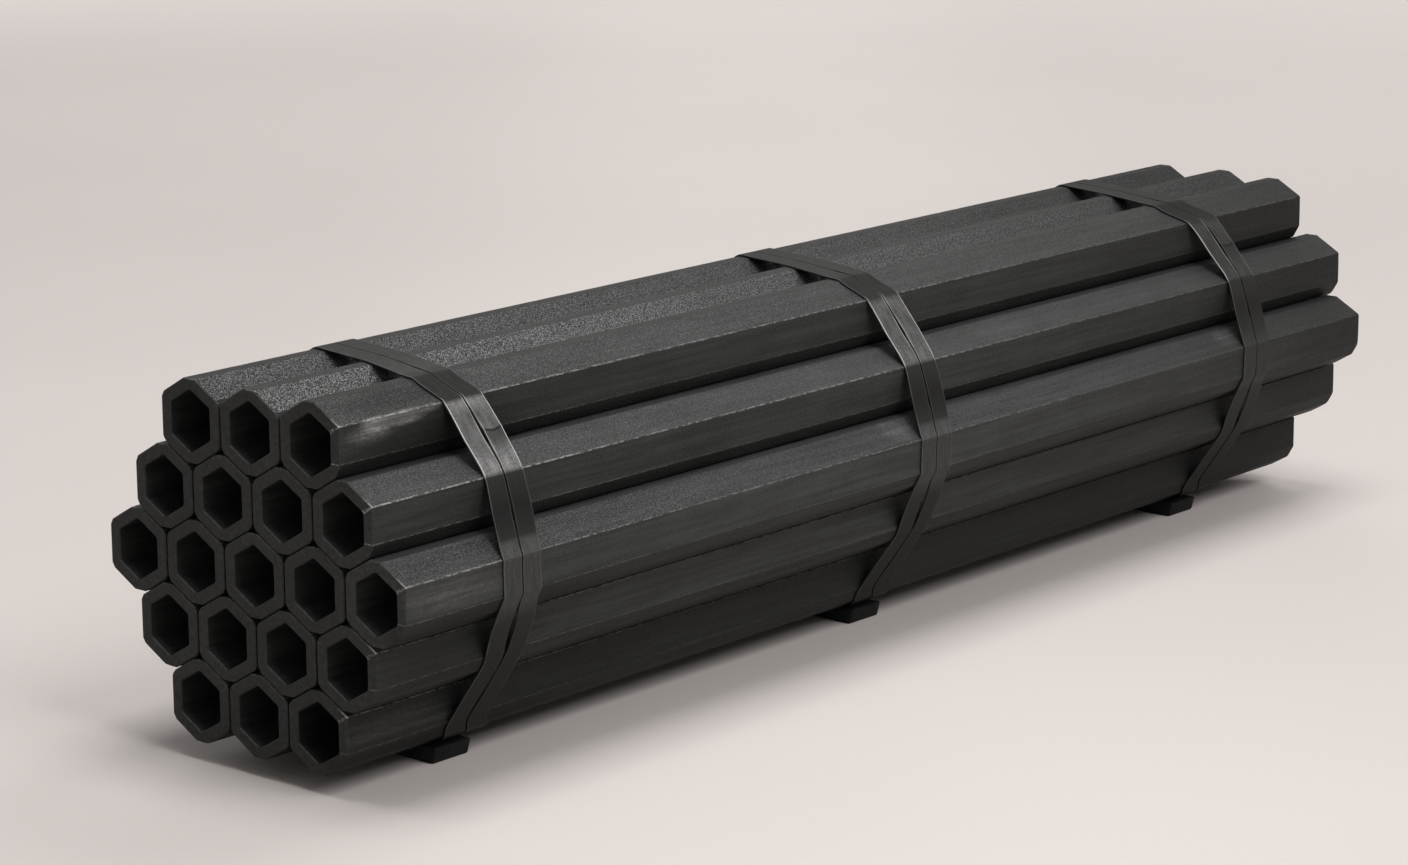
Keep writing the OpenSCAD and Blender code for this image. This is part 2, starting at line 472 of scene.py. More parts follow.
class ShaderNet(Net):
    """Adds the nodes of a new material or world."""

    def __init__(self, owner):
        owner.use_nodes = True
        owner.node_tree.nodes.clear()
        super().__init__(owner.node_tree)
        self.owner = owner

    def ended(self, surface, output="ShaderNodeOutputMaterial"):
        """The material or world, once it ends in a surface."""
        self.add(output, {"Surface": surface})
        return self.owner

    def mixed(self, factor, first, second):
        """Two colours mixed by a factor."""
        sockets = {"Factor_Float": factor}
        for key, value in (("A_Color", first), ("B_Color", second)):
            sockets[key] = value if isinstance(value, Wire) else (*value, 1)
        return self.add("ShaderNodeMix", sockets, {"data_type": "RGBA"}, "Result_Color")

    def object_place(self):
        """Place on the piece."""
        return self.add("ShaderNodeTexCoord", out="Object")

    def object_noise(self, scale, detail, roughness, stretch=(1, 1, 1), seed=0.0):
        """Noise on Object coordinates, in cells a metre."""
        place = self.object_place()
        if stretch != (1, 1, 1) or seed:
            sockets = {"Vector": place, "Location": (seed, seed, seed), "Scale": stretch}
            place = self.add("ShaderNodeMapping", sockets)
        return self.noise(place, scale, detail, roughness)

    def facing(self):
        """How far the face looks aside, along and up."""
        return self.parts(self.add("ShaderNodeNewGeometry", out="True Normal"))

    def attributes(self, *names):
        """Numbers stored on the mesh."""
        return [self.add("ShaderNodeAttribute", None, {"attribute_name": name}, "Fac") for name in names]

    def bumps(self, height, strength, distance):
        """A normal that stands for a height."""
        sockets = {"Height": height, "Strength": strength, "Distance": distance}
        return self.add("ShaderNodeBump", sockets)

    def surface(self, colour, roughness, specular, bumps=None):
        """A Principled shader."""
        sockets = {"Base Color": colour, "Roughness": roughness, "Specular IOR Level": specular}
        if bumps:
            sockets["Normal"] = bumps
        return self.add("ShaderNodeBsdfPrincipled", sockets)

    def seen_directly(self):
        """1 for rays from the camera and from a reflection or transmission."""
        seen = self.add("ShaderNodeLightPath", out="Is Camera Ray")
        outputs = seen.socket.node.outputs
        for kind in ("Is Glossy Ray", "Is Transmission Ray"):
            seen = seen.math("MAXIMUM", Wire(self, outputs[kind]))
        return seen

    def swapped(self, factor, first, second):
        """The first shader, or the second one as far as the factor goes."""
        return self.add("ShaderNodeMixShader", {0: factor, 1: first, 2: second})


def tinted(colour, factor):
    """A plain colour, lighter or darker."""
    return tuple(min(1, part * factor) for part in colour)


# Materials


class CeramicSkin(ShaderNet):
    """Black fired ceramic: its colour in layers, from the body out to the scuffs on it, with painted
    shade, sheen and highlights among the layers.
    """

    def __init__(self, settings):
        super().__init__(bpy.data.materials.new("fired_ceramic"))
        self.settings = settings
        self.place = self.object_place()
        self.past = self.parts(self.place)[1] - CAD_BOX[0][1]
        self.aside, self.along, self.up = self.facing()
        self.blotch = self.object_noise(30, 3, 0.55)
        self.streak = self.object_noise(1, 3, 0.6, (380, 12, 380))
        self.speck = self.object_noise(1500, 1, 0.5, seed=3.7)
        self.fleck = self.object_noise(1, 2, 0.6, (900, 320, 900), seed=9.1)
        self.ridge, self.rim, self.inside = self.attributes("ridge", "rim", "inside")

    def fired(self):
        """The streaked body in its tube's tone, which is partly its own and partly painted shade and
        sheen, with painted shade on the faces that look down and towards the far ends.
        """
        tone, = self.attributes("tone")
        plain = self.settings.body
        body = self.mixed(self.streak.ramp(0.3, 0.75), tinted(plain, 0.75), tinted(plain, 1.3))
        # Painted shade: faces that look down are darker, all to one tone
        low = self.up.ramp(-0.2, -0.6)
        tone = tone * (1 - low) + low * 0.5
        # The end faces are all of one tone
        tone = tone.math("MAXIMUM", self.along.size().ramp(0.5, 0.9))
        # Painted light and shade along the bundle: a little paler past the front bands, darker towards the
        # far ends
        distance_shade = 1 + self.past.ramp(0.1, 0.3) * 0.15 - self.past.ramp(0.45, 0.8) * 0.55
        distance_shade = distance_shade - self.past.ramp(0.68, 0.78) * 0.25
        return self.scaled(body, tone * distance_shade * (0.6 + self.blotch * 0.8))

    def dusted_and_sheened(self, body):
        """Dust and grains on the sloping faces that look up, which also stand for painted sheen and glints
        there, thinner towards the far ends as that painted sheen fades.
        """
        dust, grains = self.attributes("dust", "grains")
        skin = 1 - self.inside.ramp(0.02, 0.1)
        slope = self.up.ramp(0.55, 0.75) * (1 - self.up.ramp(0.93, 0.985) * 0.85)
        settled_and_sheen = slope * (0.7 + self.blotch * 0.6) * (1 - self.past.ramp(0.3, 0.85) * 0.5) * skin
        body = self.mixed(settled_and_sheen * dust, body, self.settings.grit_and_sheen)
        # The grains also stand for painted glints, fading towards the far ends
        grains = grains * (1 - self.past.ramp(0.1, 0.4) * 0.5 - self.past.ramp(0.4, 0.75) * 0.25)
        grains = self.speck.ramp(0.5, 0.6) * (0.025 * skin + settled_and_sheen * grains)
        return self.mixed(grains, body, self.settings.grit_and_sheen)

    def rubbed(self, body):
        """Rubbed along the crisp edges, with a painted highlight on the same lines, most of all near the
        near ends and less where an edge looks down.
        """
        rub, = self.attributes("rub")
        past = self.past
        # Painted highlight along with the wear: strongest near the near ends, fading far off and where the
        # edge looks down
        share = 0.5 + past.ramp(0.09, 0.05) * 0.5 + past.ramp(0.09, 0.1) * past.ramp(0.2, 0.12) * 0.3
        share = share * (1 - past.ramp(0.35, 0.6) * 0.7) * (0.3 + self.up.ramp(-0.1, 0.1) * 0.7)
        flecked = 0.12 + self.fleck.ramp(0.42, 0.58) * 0.88
        rubs_and_highlights = self.ridge.ramp(0.85, 0.99) * flecked * share
        return self.mixed(rubs_and_highlights * rub * 0.7, body, self.settings.wear_and_highlight)

    def rim_highlighted(self, body):
        """Painted highlight along the near rims of the sloping faces on the right, and chipped corners
        below them, pale from wear and from a painted glint.
        """
        rim_highlight = self.rim.ramp(0.6, 0.95) * self.past.ramp(0.05, 0.02)
        sloping = self.up.ramp(0.3, 0.6) * self.up.ramp(0.68, 0.63) * self.aside.ramp(0.1, 0.3)
        shone = sloping * (0.1 + self.ridge.ramp(0.1, 0.6) * 0.8)
        shone = shone + self.ridge.ramp(0.75, 0.98) * self.up.ramp(0.0, 0.2)
        rim_highlight = rim_highlight * (0.03 + shone) * (0.5 + self.fleck.ramp(0.4, 0.6) * 0.5)
        return self.mixed(rim_highlight, body, self.settings.wear_and_highlight)

    def patched(self, body):
        """The pale scuffs and painted sheen, and the darker patches of painted shade and painted shadow.
        """
        brushed = (self.streak * 1.4 + self.blotch * 0.5 - 0.5).ramp(0.1, 0.7)
        rough = 0.25 + brushed * (0.4 + self.fleck.ramp(0.35, 0.65))
        for middle, radius, strength in PATCHES:
            gap = self.vector("SUBTRACT", self.place, middle)
            gap = self.vector("MULTIPLY", gap, tuple(1 / r for r in radius))
            near = self.vector("LENGTH", gap, out="Value").ramp(1.0, 0.2)
            if strength > 0:
                body = self.mixed(near * rough * strength, body, self.settings.wear_and_highlight)
            else:
                # Painted shade and painted shadow
                body = self.scaled(body, 1 + near * strength)
        return body


def ceramic_material(settings):
    """Fired ceramic with a gritty skin, rubbed edges and brushed streaks, with painted shade, sheen and
    highlights in its colour.
    """
    skin = CeramicSkin(settings)
    colour = skin.patched(skin.rim_highlighted(skin.rubbed(skin.dusted_and_sheened(skin.fired()))))
    roughness = 0.5 + skin.blotch * 0.14 + skin.up.ramp(0.3, 0.6) * 0.12 + skin.up.ramp(0.9, 0.99) * 0.12
    bumps = skin.bumps(skin.object_noise(800, 3, 0.7) + skin.speck * 0.5, 0.9, 0.6 * MM)
    return skin.ended(skin.surface(colour, roughness, 0.15, bumps))


def band_material(settings):
    """Black drawn plastic, paler where it is stretched and where sheen is painted, darker where shade is
    painted, with lengthwise lines and pale cut edges carrying a painted highlight.
    """
    net = ShaderNet(bpy.data.materials.new("drawn_plastic"))
    along, across, mark, tone, cut = net.attributes("along", "across", "mark", "tone", "cut")
    lines = net.noise(net.joined(along * 25, across * 1300, 0.0), detail=3.0)
    patches = net.noise(net.joined(along * 110, across * 260, 5.0), detail=3.0)
    specks = net.noise(net.joined(along * 900 + across * 500, across * 1500, 9.0))
    # A tone below 0 darkens the plastic: painted shade
    drawn = net.scaled(settings.plastic, (0.5 + lines) * (1 + tone.math("MINIMUM", 0.0)))
    # The weld leaves a darker smudge that ends in a bent mark
    bow = mark + across * across * 42
    smudge = bow.ramp(-0.5 * MM, 0.5 * MM) * bow.ramp(11 * MM, 3 * MM)
    pale = lines * 0.5 + patches.ramp(0.3, 0.7) * 0.5 + specks.ramp(0.35, 0.65) * 0.45
    # The paleness is partly stretched plastic and partly painted sheen
    pale = tone * (0.15 + pale) * (1 - smudge * 0.62)
    drawn = net.mixed(pale.clamped(), drawn, settings.stretched)
    drawn = net.scaled(drawn, 1 - bow.size().ramp(0.9 * MM, 0.3 * MM) * 0.75)
    # Painted highlight, with some whitening, along the arris of each cut edge, not down its thickness, and
    # paler on the outer one
    half, edge = settings.width / 2, across.size()
    arris = edge.ramp(half - 0.7 * MM, half - 0.4 * MM) * edge.ramp(half - 0.02 * MM, half - 0.15 * MM)
    arris = arris * (0.5 + across.ramp(-1 * MM, 1 * MM) * 0.5)
    whitening_and_highlight = arris * cut * (0.6 + patches.ramp(0.35, 0.6) * 0.4)
    colour = net.mixed(whitening_and_highlight, drawn, settings.whitening_and_highlight)
    _, _, up = net.facing()
    roughness = 0.52 + lines * 0.16 + up.ramp(0.55, 0.9) * 0.25
    return net.ended(net.surface(colour, roughness, 0.14, net.bumps(lines, 0.4, 0.2 * MM)))


def bearer_material(settings):
    """Matt black rubber with a fine, dusty skin."""
    net = ShaderNet(bpy.data.materials.new("moulded_rubber"))
    dust = net.object_noise(160, 4, 0.6)
    pores = net.object_noise(1400, 2, 0.5)
    colour = net.mixed(dust.ramp(0.45, 0.8) * 0.35, settings.rubber, settings.dust)
    bumps = net.bumps(pores, 0.4, 0.3 * MM)
    return net.ended(net.surface(colour, 0.7 + dust * 0.15, 0.15, bumps))


def floor_material(settings):
    """Pale seamless paper, faintly mottled, with painted light and shade across it, that keeps its
    paleness far from the lamps.
    """
    net = ShaderNet(bpy.data.materials.new("pale_paper"))
    cloud = net.object_noise(1.6, 3, 0.5).ramp(0.3, 0.7)
    fibre = net.object_noise(420, 2, 0.6)
    place = net.object_place()
    aside, along, _ = net.parts(place)
    near = (aside * TO_CAMERA.x + along * TO_CAMERA.y).ramp(-1.25, 0.4)
    across = (along * TO_CAMERA.x - aside * TO_CAMERA.y).size().ramp(0.05, 0.4)
    colour = net.mixed(cloud, tinted(settings.floor, 0.985), tinted(settings.floor, 1.015))
    # Painted light and shade: paler towards the camera and along the middle, darker to the sides
    shade = (0.9 + near * 0.17) * (1.045 - across * 0.095) * (0.98 + fibre * 0.04)
    paper = net.surface(net.scaled(colour, shade), 0.95, 0.1)
    backdrop = net.add("ShaderNodeEmission", {"Color": (*settings.floor, 1), "Strength": 1.0})
    away = net.vector("LENGTH", place, out="Value").ramp(BACKDROP_FROM, BACKDROP_TO)
    return net.ended(net.swapped(away * net.seen_directly(), paper, backdrop))


# Outlines


def turned(point, angle):
    """A flat point turned anticlockwise, in degrees."""
    a = math.radians(angle)
    return Vector((point[0] * math.cos(a) - point[1] * math.sin(a),
                   point[0] * math.sin(a) + point[1] * math.cos(a)))


def bend_arc(corner, angle, radius, sweep, steps):
    """Points along an arc that rounds a convex corner, whose middle looks along an angle."""
    centre = corner - turned((radius / math.cos(math.radians(sweep / 2)), 0), angle)
    return [centre + turned((radius, 0), angle - sweep / 2 + sweep * k / steps) for k in range(steps + 1)]


def straight_stops(start, stop):
    """Stops along a straight edge: (share of the way, distance from the nearer end)."""
    span = (stop - start).length
    stops = (SHOULDER, span / 2, span - SHOULDER) if span > NARROW else (span / 2,)
    return [(distance / span, min(distance, span - distance)) for distance in stops]


class TubeShape:
    """Outlines of a tube and of its bore, with the same number of points, from the frame."""

    def __init__(self, settings):
        low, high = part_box("tube_3_3")
        width = high.x - low.x
        half_turn = math.radians(EDGE_TURN)
        self.settings = settings
        self.sharp = width / 2 / math.cos(half_turn)
        self.wall = (width - settings.bore) / 2
        self.crown_flat = (self.sharp - (high.z - low.z) / 2) * 2 / math.tan(half_turn)

    def corner(self, angle, crisp):
        """Width of the flat along the corner that looks along an angle, and its edges' radius."""
        if angle % 180 == 90:
            return self.crown_flat, self.settings.edge_radius
        if crisp and angle % 360 == EDGE_TURN:
            return self.settings.crisp_flat, self.settings.crisp_radius
        if crisp and angle % 360 == 360 - EDGE_TURN:
            return self.settings.low_flat, self.settings.edge_radius
        return self.settings.corner_flat, self.settings.edge_radius

    def flat_ends(self, angle, crisp):
        """The two ends of that flat, before its edges are rounded."""
        width = self.corner(angle, crisp)[0]
        reach = self.sharp - width / 2 * math.tan(math.radians(EDGE_TURN))
        return [turned((reach, side * width / 2), angle) for side in (-1, 1)]

    def flat_arcs(self, angle, crisp):
        """The arcs that round the two edges of that flat."""
        radius = self.corner(angle, crisp)[1]
        return [bend_arc(end, angle + side * EDGE_TURN / 2, radius, EDGE_TURN, ARC_STEPS)
                for side, end in zip((-1, 1), self.flat_ends(angle, crisp))]

    def bore_arc(self, angle, steps):
        """The arc that rounds a corner of the bore."""
        sharp = self.settings.bore / 2 / math.cos(math.radians(EDGE_TURN))
        return bend_arc(turned((sharp, 0), angle), angle, self.settings.bore_radius, FACE_TURN, steps)

    def outlines(self, crisp):
        """(outer points, distances from the nearest edge, shares of ridge, bore points), anticlockwise."""
        outer, edge, ridge, bore = [], [], [], []
        for angle in range(EDGE_TURN, 360, FACE_TURN):
            one, two = self.flat_arcs(angle, crisp)
            following = self.flat_arcs(angle + FACE_TURN, crisp)[0]
            flat = straight_stops(one[-1], two[0])
            face = straight_stops(two[-1], following[0])
            outer += one + [one[-1].lerp(two[0], share) for share, _ in flat]
            outer += two + [two[-1].lerp(following[0], share) for share, _ in face]
            edge += [0.0] * len(one) + [distance for _, distance in flat]
            edge += [0.0] * len(two) + [distance for _, distance in face]
            # The crisp corner is a ridge on both of its arcs, the low one on its upper arc alone
            lower = crisp and angle == EDGE_TURN
            upper = crisp and angle in (EDGE_TURN, 360 - EDGE_TURN)
            ridge += [float(lower)] * len(one + flat) + [float(upper)] * len(two)
            ridge += RIDGE_FADE if lower else [0.0] * len(face)
            around = self.bore_arc(angle, len(one + flat + two) - 1)
            ahead = self.bore_arc(angle + FACE_TURN, 1)[0]
            bore += around + [around[-1].lerp(ahead, share) for share, _ in face]
        return outer, edge, ridge, bore


def tube_centre(row, column):
    """Middle of a tube's section, as (x, z)."""
    low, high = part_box(f"tube_{row}_{column}")
    return Vector(((low.x + high.x) / 2, (low.z + high.z) / 2))


def stack_path(shape, settings):
    """Closed path of a band's middle, anticlockwise: (place, outward, run) of each sample; its length."""
    half = settings.thickness / 2
    lift = (settings.lift + half) / math.cos(math.radians(EDGE_TURN / 2))
    bends = []
    for index, spot in enumerate(RING):
        for side, end in ((-1, 1), (1, 0)):
            angle = FACE_TURN * index + side * EDGE_TURN / 2
            flat = shape.flat_ends(angle + side * EDGE_TURN / 2, spot in CRISP)
            corner = tube_centre(*spot) + flat[end] + turned((lift, 0), angle)
            radius = settings.crown_bend if angle in CROWN else settings.bend + half
            points = bend_arc(corner, angle, radius, EDGE_TURN, BEND_STEPS)
            start = angle - EDGE_TURN / 2
            bends.append([(place, turned((1, 0), start + EDGE_TURN / BEND_STEPS * k))
                          for k, place in enumerate(points)])
    samples = []
    for bend, following in zip(bends, bends[1:] + bends[:1]):
        (start, outward), (stop, _) = bend[-1], following[0]
        count = max(2, round((stop - start).length / PATH_STEP))
        samples += bend + [(start.lerp(stop, k / count), outward) for k in range(1, count)]
    run, path = 0.0, []
    for (place, outward), (following, _) in zip(samples, samples[1:] + samples[:1]):
        path.append((place, outward, run))
        run += (following - place).length
    return path, run


def band_section(settings):
    """Section of a band, with its long edges cut back, anticlockwise."""
    half, thick = settings.width / 2, settings.thickness / 2
    in_half, in_thick = half - SOFT_EDGE, thick - SOFT_EDGE
    lower = [(-half, -in_thick), (-in_half, -thick), (0, -thick), (in_half, -thick), (half, -in_thick)]
    upper = [(half, in_thick), (in_half, thick), (half / 2, thick), (0, thick),
             (-half / 2, thick), (-in_half, thick), (-half, in_thick)]
    return [(x, 0, z) for x, z in lower + upper]


# Meshes and trees


def link(obj):
    """Puts an object in the scene."""
    bpy.context.scene.collection.objects.link(obj)
    return obj


def point_cloud(name, points, numbers=None, vectors=None):
    """Loose points that a tree samples, with named numbers and vectors on them."""
    mesh = bpy.data.meshes.new(name)
    mesh.from_pydata(points, [], [])
    for key, values in (numbers or {}).items():
        mesh.attributes.new(key, "FLOAT", "POINT").data.foreach_set("value", values)
    for key, values in (vectors or {}).items():
        flat = [part for value in values for part in value]
        mesh.attributes.new(key, "FLOAT_VECTOR", "POINT").data.foreach_set("vector", flat)
    return link(bpy.data.objects.new(name, mesh))


def shape_from_tree(name, tree, values):
    """Runs a tree with its inputs set by identifier and keeps the result as a plain closed mesh."""
    carrier = link(bpy.data.objects.new(name, bpy.data.meshes.new(name)))
    modifier = carrier.modifiers.new("shape", "NODES")
    modifier.node_group = tree
    for item in tree.interface.items_tree:
        if item.in_out == "INPUT" and item.name in values:
            modifier[item.identifier] = values[item.name]
    evaluated = carrier.evaluated_get(bpy.context.evaluated_depsgraph_get())
    mesh = bpy.data.meshes.new_from_object(evaluated)
    carrier.modifiers.remove(modifier)
    carrier.data = mesh
    mesh.name = name
    if len(mesh.polygons) == 0:
        raise RuntimeError(f"{name} came out empty")
    face_outwards(carrier)
    return carrier


def face_outwards(obj):
    """Turns the faces of a closed piece outwards."""
    form = bmesh.new()
    form.from_mesh(obj.data)
    if any(len(edge.link_faces) != 2 for edge in form.edges):
        raise RuntimeError(f"{obj.name} isn't closed")
    if form.calc_volume(signed=True) < 0:
        bmesh.ops.reverse_faces(form, faces=form.faces)
        form.to_mesh(obj.data)
    form.free()


class GeometryNet(Net):
    """Adds the nodes of a Geometry Nodes tree, whose inputs are named by kind."""

    def __init__(self, name, inputs):
        super().__init__(bpy.data.node_groups.new(name, "GeometryNodeTree"))
        face = self.tree.interface
        face.new_socket("Geometry", in_out="INPUT", socket_type="NodeSocketGeometry")
        face.new_socket("Geometry", in_out="OUTPUT", socket_type="NodeSocketGeometry")
        for kind, labels in inputs.items():
            for label in labels:
                face.new_socket(label, in_out="INPUT", socket_type=f"NodeSocket{kind}")
        entry = self.add("NodeGroupInput").socket.node
        self.given = {socket.name: Wire(self, socket) for socket in entry.outputs}

    def source(self, key):
        """The mesh of a given object."""
        return self.add("GeometryNodeObjectInfo", {"Object": self.given[key]}, out="Geometry")

    def named(self, name, kind="FLOAT"):
        """An attribute by its name."""
        return self.add("GeometryNodeInputNamedAttribute", {"Name": name}, {"data_type": kind})

    def sampled(self, source, index, name, kind="FLOAT"):
        """An attribute of a point of another mesh."""
        sockets = {"Geometry": source, "Value": self.named(name, kind), "Index": index}
        return self.add("GeometryNodeSampleIndex", sockets, {"data_type": kind, "domain": "POINT"})

    def stored(self, geometry, values):
        """Keeps named numbers on every point."""
        settings = {"data_type": "FLOAT", "domain": "POINT"}
        for name, value in values.items():
            sockets = {"Geometry": geometry, "Name": name, "Value": value}
            geometry = self.add("GeometryNodeStoreNamedAttribute", sockets, settings)
        return geometry

    def moved(self, geometry, **sockets):
        """Moves every point to a Position or by an Offset."""
        return self.add("GeometryNodeSetPosition", {"Geometry": geometry, **sockets})

    def woven_grid(self, long_count, short_count):
        """A grid that closes both ways, and where its points lie along and around."""
        sockets = {"Vertices X": long_count + 1, "Vertices Y": short_count + 1}
        grid = self.add("GeometryNodeMeshGrid", sockets, out="Mesh")
        index = self.add("GeometryNodeInputIndex")
        width = short_count + 1
        along = (index / width + ROUNDING).math("FLOOR")
        around = index - along * width
        return grid, along.math("FLOORED_MODULO", long_count), around.math("FLOORED_MODULO", short_count)

    def closed(self, geometry):
        """Joins the seams of a woven grid."""
        return self.add("GeometryNodeMergeByDistance", {"Geometry": geometry, "Distance": WELDED})

    def finish(self, geometry, crease):
        """Smooth but for edges past a crease; ends in Realize Instances and Set Material."""
        smooth = self.add("GeometryNodeSetShadeSmooth", {"Geometry": geometry})
        turn = self.add("GeometryNodeInputMeshEdgeAngle", out="Unsigned Angle")
        flat = turn.math("LESS_THAN", math.radians(crease))
        creased = self.add("GeometryNodeSetShadeSmooth", {"Geometry": smooth, "Shade Smooth": flat},
                           {"domain": "EDGE"})
        real = self.add("GeometryNodeRealizeInstances", {"Geometry": creased})
        sockets = {"Geometry": real, "Material": self.given["Material"]}
        self.add("NodeGroupOutput", {"Geometry": self.add("GeometryNodeSetMaterial", sockets)})
        return self.tree


def tube_tree():
    """Tree of a tube: two outlines woven along a route over the skin and back through the bore."""
    net = GeometryNet("hexagonal_tube", {
        "Object": ("Outer", "Bore", "Route"),
        "Int": ("Around", "Along"),
        "Vector": ("Centre",),
        "Float": ("Near", "Length", "Chip", *FIRING_PARTS),
        "Material": ("Material",),
    })
    given = net.given
    outer, bore, route = (net.source(key) for key in ("Outer", "Bore", "Route"))
    grid, along, around = net.woven_grid(given["Along"], given["Around"])
    inside, fixed, share = net.parts(net.sampled(route, along, "position", "FLOAT_VECTOR"))
    sockets = {"Factor_Float": inside}
    for key, source in (("A_Vector", outer), ("B_Vector", bore)):
        sockets[key] = net.sampled(source, around, "position", "FLOAT_VECTOR")
    section = net.add("ShaderNodeMix", sockets, {"data_type": "VECTOR"}, "Result_Vector")
    across, _, up = net.parts(section)
    depth = fixed + share * given["Length"]
    skin = net.moved(grid, Position=net.joined(across, depth + given["Near"], up))
    skin = net.stored(skin, {
        "edge": net.sampled(outer, around, "edge"),
        "ridge": net.sampled(outer, around, "ridge"),
        "rim": net.sampled(route, along, "rim"),
        "inside": inside,
        "end": depth.math("MINIMUM", given["Length"] - depth),
        **{part.lower(): given[part] for part in FIRING_PARTS},
    })
    skin = net.moved(net.closed(skin), Offset=given["Centre"])
    # Chips: deepest at the corners of the ends, shallow along the rest of each edge
    bite = net.noise(net.add("GeometryNodeInputPosition"), CHIP_SCALE).ramp(0.5, 0.68)
    at_edge = net.named("edge").ramp(CHIP_REACH, 0.1 * MM)
    at_end = 0.25 + net.named("end").ramp(CHIP_DEPTH, 0.0) * 0.75
    bite = bite * at_edge * at_end * (1 - net.named("inside").ramp(0.0, 0.2)) * given["Chip"]
    skin = net.moved(skin, Offset=net.scaled(net.add("GeometryNodeInputNormal"), bite * -1))
    return net.finish(skin, TUBE_CREASE)


def tube_route(shape, bevel, spans):
    """Route of a tube: (inside, fixed distance, share of the length) and the rim at each stop."""
    step, inset = bevel / shape.wall, SHOULDER / shape.wall
    face = [(1 - step, 1), (1 - step - inset, 0), (0.5, 0), (step + inset, 0), (step, 1)]
    ends = [bevel + distance * MM for distance in END_STOPS]
    skin = [(distance, 0.0) for distance in ends]
    skin += [(ends[-1] * (1 - 2 * k / spans), k / spans) for k in range(1, spans)]
    skin += [(-distance, 1.0) for distance in reversed(ends)]
    mouth = [bevel + SHOULDER] + [distance * MM for distance in MOUTH_STOPS]
    hole = [(-distance, 1.0) for distance in mouth]
    hole += [(0.0, share) for share in BORE_SHARES]
    hole += [(distance, 0.0) for distance in reversed(mouth)]
    stops = [((1.0, bevel, 0.0), 1)]
    stops += [((inside, 0.0, 0.0), rim) for inside, rim in face]
    stops += [((0.0, fixed, share), abs(fixed) == bevel) for fixed, share in skin]
    stops += [((inside, 0.0, 1.0), rim) for inside, rim in reversed(face)]
    stops += [((1.0, -bevel, 1.0), 1)]
    stops += [((1.0, fixed, share), 0) for fixed, share in hole]
    return [stop for stop, _ in stops], [float(rim) for _, rim in stops]


def band_tree():
    """Tree of a band: a flat section woven along a route around the stack."""
    net = GeometryNet("flat_band", {
        "Object": ("Route", "Section"),
        "Int": ("Along", "Around"),
        "Float": ("Shift", "Weld"),
        "Material": ("Material",),
    })
    given = net.given
    route, section = net.source("Route"), net.source("Section")
    grid, along, around = net.woven_grid(given["Along"], given["Around"])
    centre, outward, sideways = (net.sampled(route, along, name, "FLOAT_VECTOR")
                                 for name in ("position", "outward", "sideways"))
    run, weld, cut, tone, spread, mark = (net.sampled(route, along, name)
                                          for name in ("run", "weld", "cut", "tone", "spread", "mark"))
    across, _, height = net.parts(net.sampled(section, around, "position", "FLOAT_VECTOR"))
    # A weld stands proud on the outer face alone
    height = height + height.math("GREATER_THAN", 0.0) * weld * given["Weld"]
    side = given["Shift"].math("SIGN")
    aside = across + given["Shift"] + side * spread
    spot = net.vector("ADD", centre, net.scaled(sideways, aside))
    spot = net.vector("ADD", spot, net.scaled(outward, height))
    skin = net.moved(grid, Position=spot)
    kept = {"along": run, "across": across * side, "cut": cut, "tone": tone, "mark": mark}
    return net.finish(net.closed(net.stored(skin, kept)), BAND_CREASE)


class BandCourse:
    """The middle line of a pair of bands around the stack."""

    def __init__(self, shape, settings, passes, near):
        self.path, self.total = stack_path(shape, settings)
        self.near = near
        self.keys = {}
        for name, (row, column, angle) in KEYS.items():
            spot = tube_centre(row, column) + turned((shape.sharp, 0), angle)
            self.keys[name] = min(self.path, key=lambda sample: (sample[0] - spot).length)[2]
        self.passes = list(zip(self.keys.values(), passes))

    def between(self, run, stops):
        """A value between the two stops around a run, going round the closed path."""
        order = sorted(stops)
        (first, low), (last, high) = order[0], order[-1]
        order = [(last - self.total, high), *order, (first + self.total, low)]
        for (r0, v0), (r1, v1) in zip(order, order[1:]):
            if r0 <= run <= r1:
                return v0 + (v1 - v0) * (run - r0) / (r1 - r0 or MM)
        raise RuntimeError("a run lies off the path")

    def depth(self, run):
        """How far along the bundle the pair lies at a run, smoothed where it turns."""
        steps = [self.between((run + SMOOTHED * k / 3) % self.total, self.passes) for k in range(-3, 4)]
        return self.near + sum(steps) / len(steps) * MM

    def lean(self, run):
        """How much wider than square a band is when it is cut along the tubes."""
        rises = [(self.depth(run + (k + 1) * SLANT_STEP) - self.depth(run + (k - 1) * SLANT_STEP))
                 / (2 * SLANT_STEP) for k in range(-2, 3)]
        return sum(math.hypot(1, rise) for rise in rises) / len(rises)

    def values(self, table):
        """Each sample's value from a table of stops."""
        stops = [((self.keys[key] + past * MM) % self.total, value)
                 for key, row in table.items() for past, value in row]
        return [self.between(run, stops) for _, _, run in self.path]

    def route(self, name, weld_from, weld_to, numbers):
        """The points that the band tree samples, with a weld between two runs."""
        runs = [run for _, _, run in self.path]
        numbers["run"] = runs
        numbers["weld"] = [float(weld_from < run < weld_to) for run in runs]
        numbers["mark"] = [weld_from - run for run in runs]
        places = [(place.x, self.depth(run), place.y) for place, _, run in self.path]
        outward = [(out.x, 0, out.y) for _, out, _ in self.path]
        sideways = [(0, self.lean(run), 0) for run in runs]
        return point_cloud(name, places, numbers, {"outward": outward, "sideways": sideways})


# Operators


def keep(piece, node):
    """Parents a finished piece to the root and hides the CAD part that it replaces."""
    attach(piece, "root")
    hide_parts(node)


